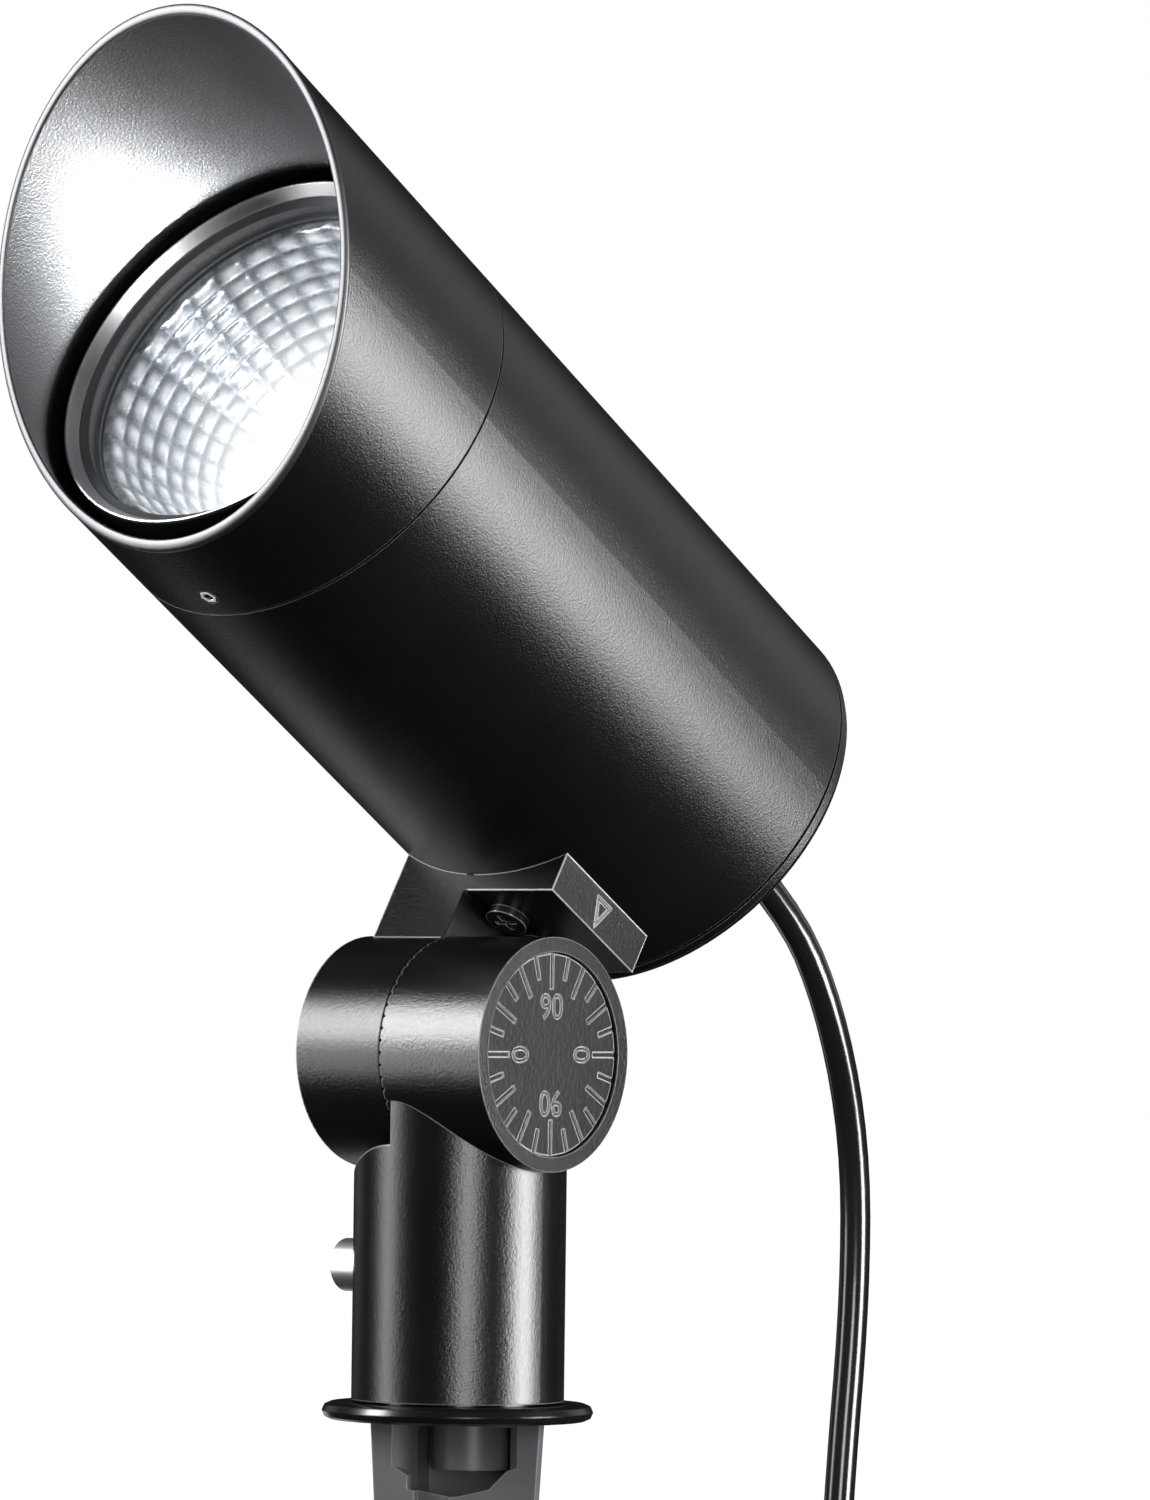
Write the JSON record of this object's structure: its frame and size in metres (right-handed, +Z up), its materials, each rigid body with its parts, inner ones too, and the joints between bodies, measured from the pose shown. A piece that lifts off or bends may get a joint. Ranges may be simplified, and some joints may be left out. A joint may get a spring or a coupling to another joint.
{
  "type": "garden spotlight on a ground stake",
  "caption": "Garden spotlight: cylindrical LED head with an oblique glare shroud, toothed tilt knuckle with a degree dial, stem with snap button, ground stake and a mains lead with a plug.",
  "frame": {"origin": "centre of the collar's underside, on the ground line the stake is pushed in to", "axes": "+Z up along the stem, +X out of the degree dial along the tilt hinge, beam towards -Y and up at rest"},
  "size_m": [0.1063, 0.2305, 0.4336],
  "materials": {
    "body_paint": "satin black powder coat, fine texture",
    "cap_paint": "satin black powder coat",
    "knuckle_paint": "satin black, slightly coarser cast texture",
    "stem_paint": "satin black",
    "dial_black": "engraved black plate",
    "bare_aluminium": "machined",
    "bezel_black": "black, bright bevel",
    "gasket_black": "matt",
    "lens_glass": "clear toughened",
    "reflector_metal": "metallised, faceted",
    "led_yellow": "phosphor, lit",
    "board_white": "white solder mask",
    "holder_white": "matt white",
    "pcb_green": "solder mask",
    "part_black": "moulded",
    "core_yellow": "taped windings",
    "can_blue": "sleeved",
    "carrier_grey": "matt",
    "wire_insulation": "glossy",
    "screw_steel": "zinc plated",
    "screw_black": "black oxide",
    "button_steel": "turned and polished",
    "spring_steel": "drawn wire",
    "gland_black": "nylon",
    "collar_gloss": "glossy black",
    "stake_grey": "dark grey, satin",
    "cord_jacket": "glossy black",
    "plug_black": "grained black",
    "plug_brass": "nickel-tinted brass"
  },
  "bodies": {
    "stem": {"stem": "stem_paint", "dial_cap": "dial_black", "pivot_bolt": "screw_steel", "pivot_washer": "screw_steel", "pivot_nut": "screw_steel", "snap_spring": "spring_steel", "stake_collar": "collar_gloss", "ground_stake": "stake_grey", "stake_screw": "screw_steel", "cord_lead": "cord_jacket", "cord_coil": "cord_jacket", "cord_tail": "cord_jacket", "coil_tie": "gland_black", "plug_body": "plug_black", "plug_relief": "plug_black", "plug_blades": "plug_brass", "plug_ground_pin": "plug_brass"},
    "head": {"lens_bezel": "bezel_black", "lens_glass": "lens_glass", "lens_gasket": "gasket_black", "reflector": "reflector_metal", "led_chip": "led_yellow", "led_board": "board_white", "led_holder": "holder_white", "heat_spreader": "bare_aluminium", "driver_carrier": "carrier_grey", "driver_board": "pcb_green", "driver_transformer": "core_yellow", "driver_capacitors": "can_blue", "driver_chips": "part_black", "supply_leads": "wire_insulation", "lamp_leads": "wire_insulation", "head_housing": "body_paint", "rear_cap": "cap_paint", "rear_cap_seal": "gasket_black", "rear_cap_screws": "screw_steel", "cable_gland": "gland_black", "gland_lock_nut": "gland_black", "bend_relief": "gland_black", "knuckle_bracket": "knuckle_paint", "bracket_screws": "screw_black"},
    "shroud": {"glare_shroud": "body_paint", "shroud_lock_screw": "screw_black"},
    "button": {"snap_button": "button_steel"}
  },
  "joints": [
    {"name": "head_tilt", "type": "hinge", "parent": "stem", "child": "head", "pos_m": [0, 0, 0.073], "axis": [1, 0, 0], "range_deg": [-58, 62], "deforming": ["cord_lead"]},
    {"name": "shroud_turn", "type": "hinge", "parent": "head", "child": "shroud", "pos_m": [0, 0.04123, 0.13898], "axis": [0, -0.848, 0.5299], "continuous": true},
    {"name": "button_press", "type": "slide", "parent": "stem", "child": "button", "axis": [1, 0, 0], "range_m": [0, 0.006], "stiffness_N_per_m": 500, "springref_m": -0.003, "deforming": ["snap_spring"]}
  ]
}
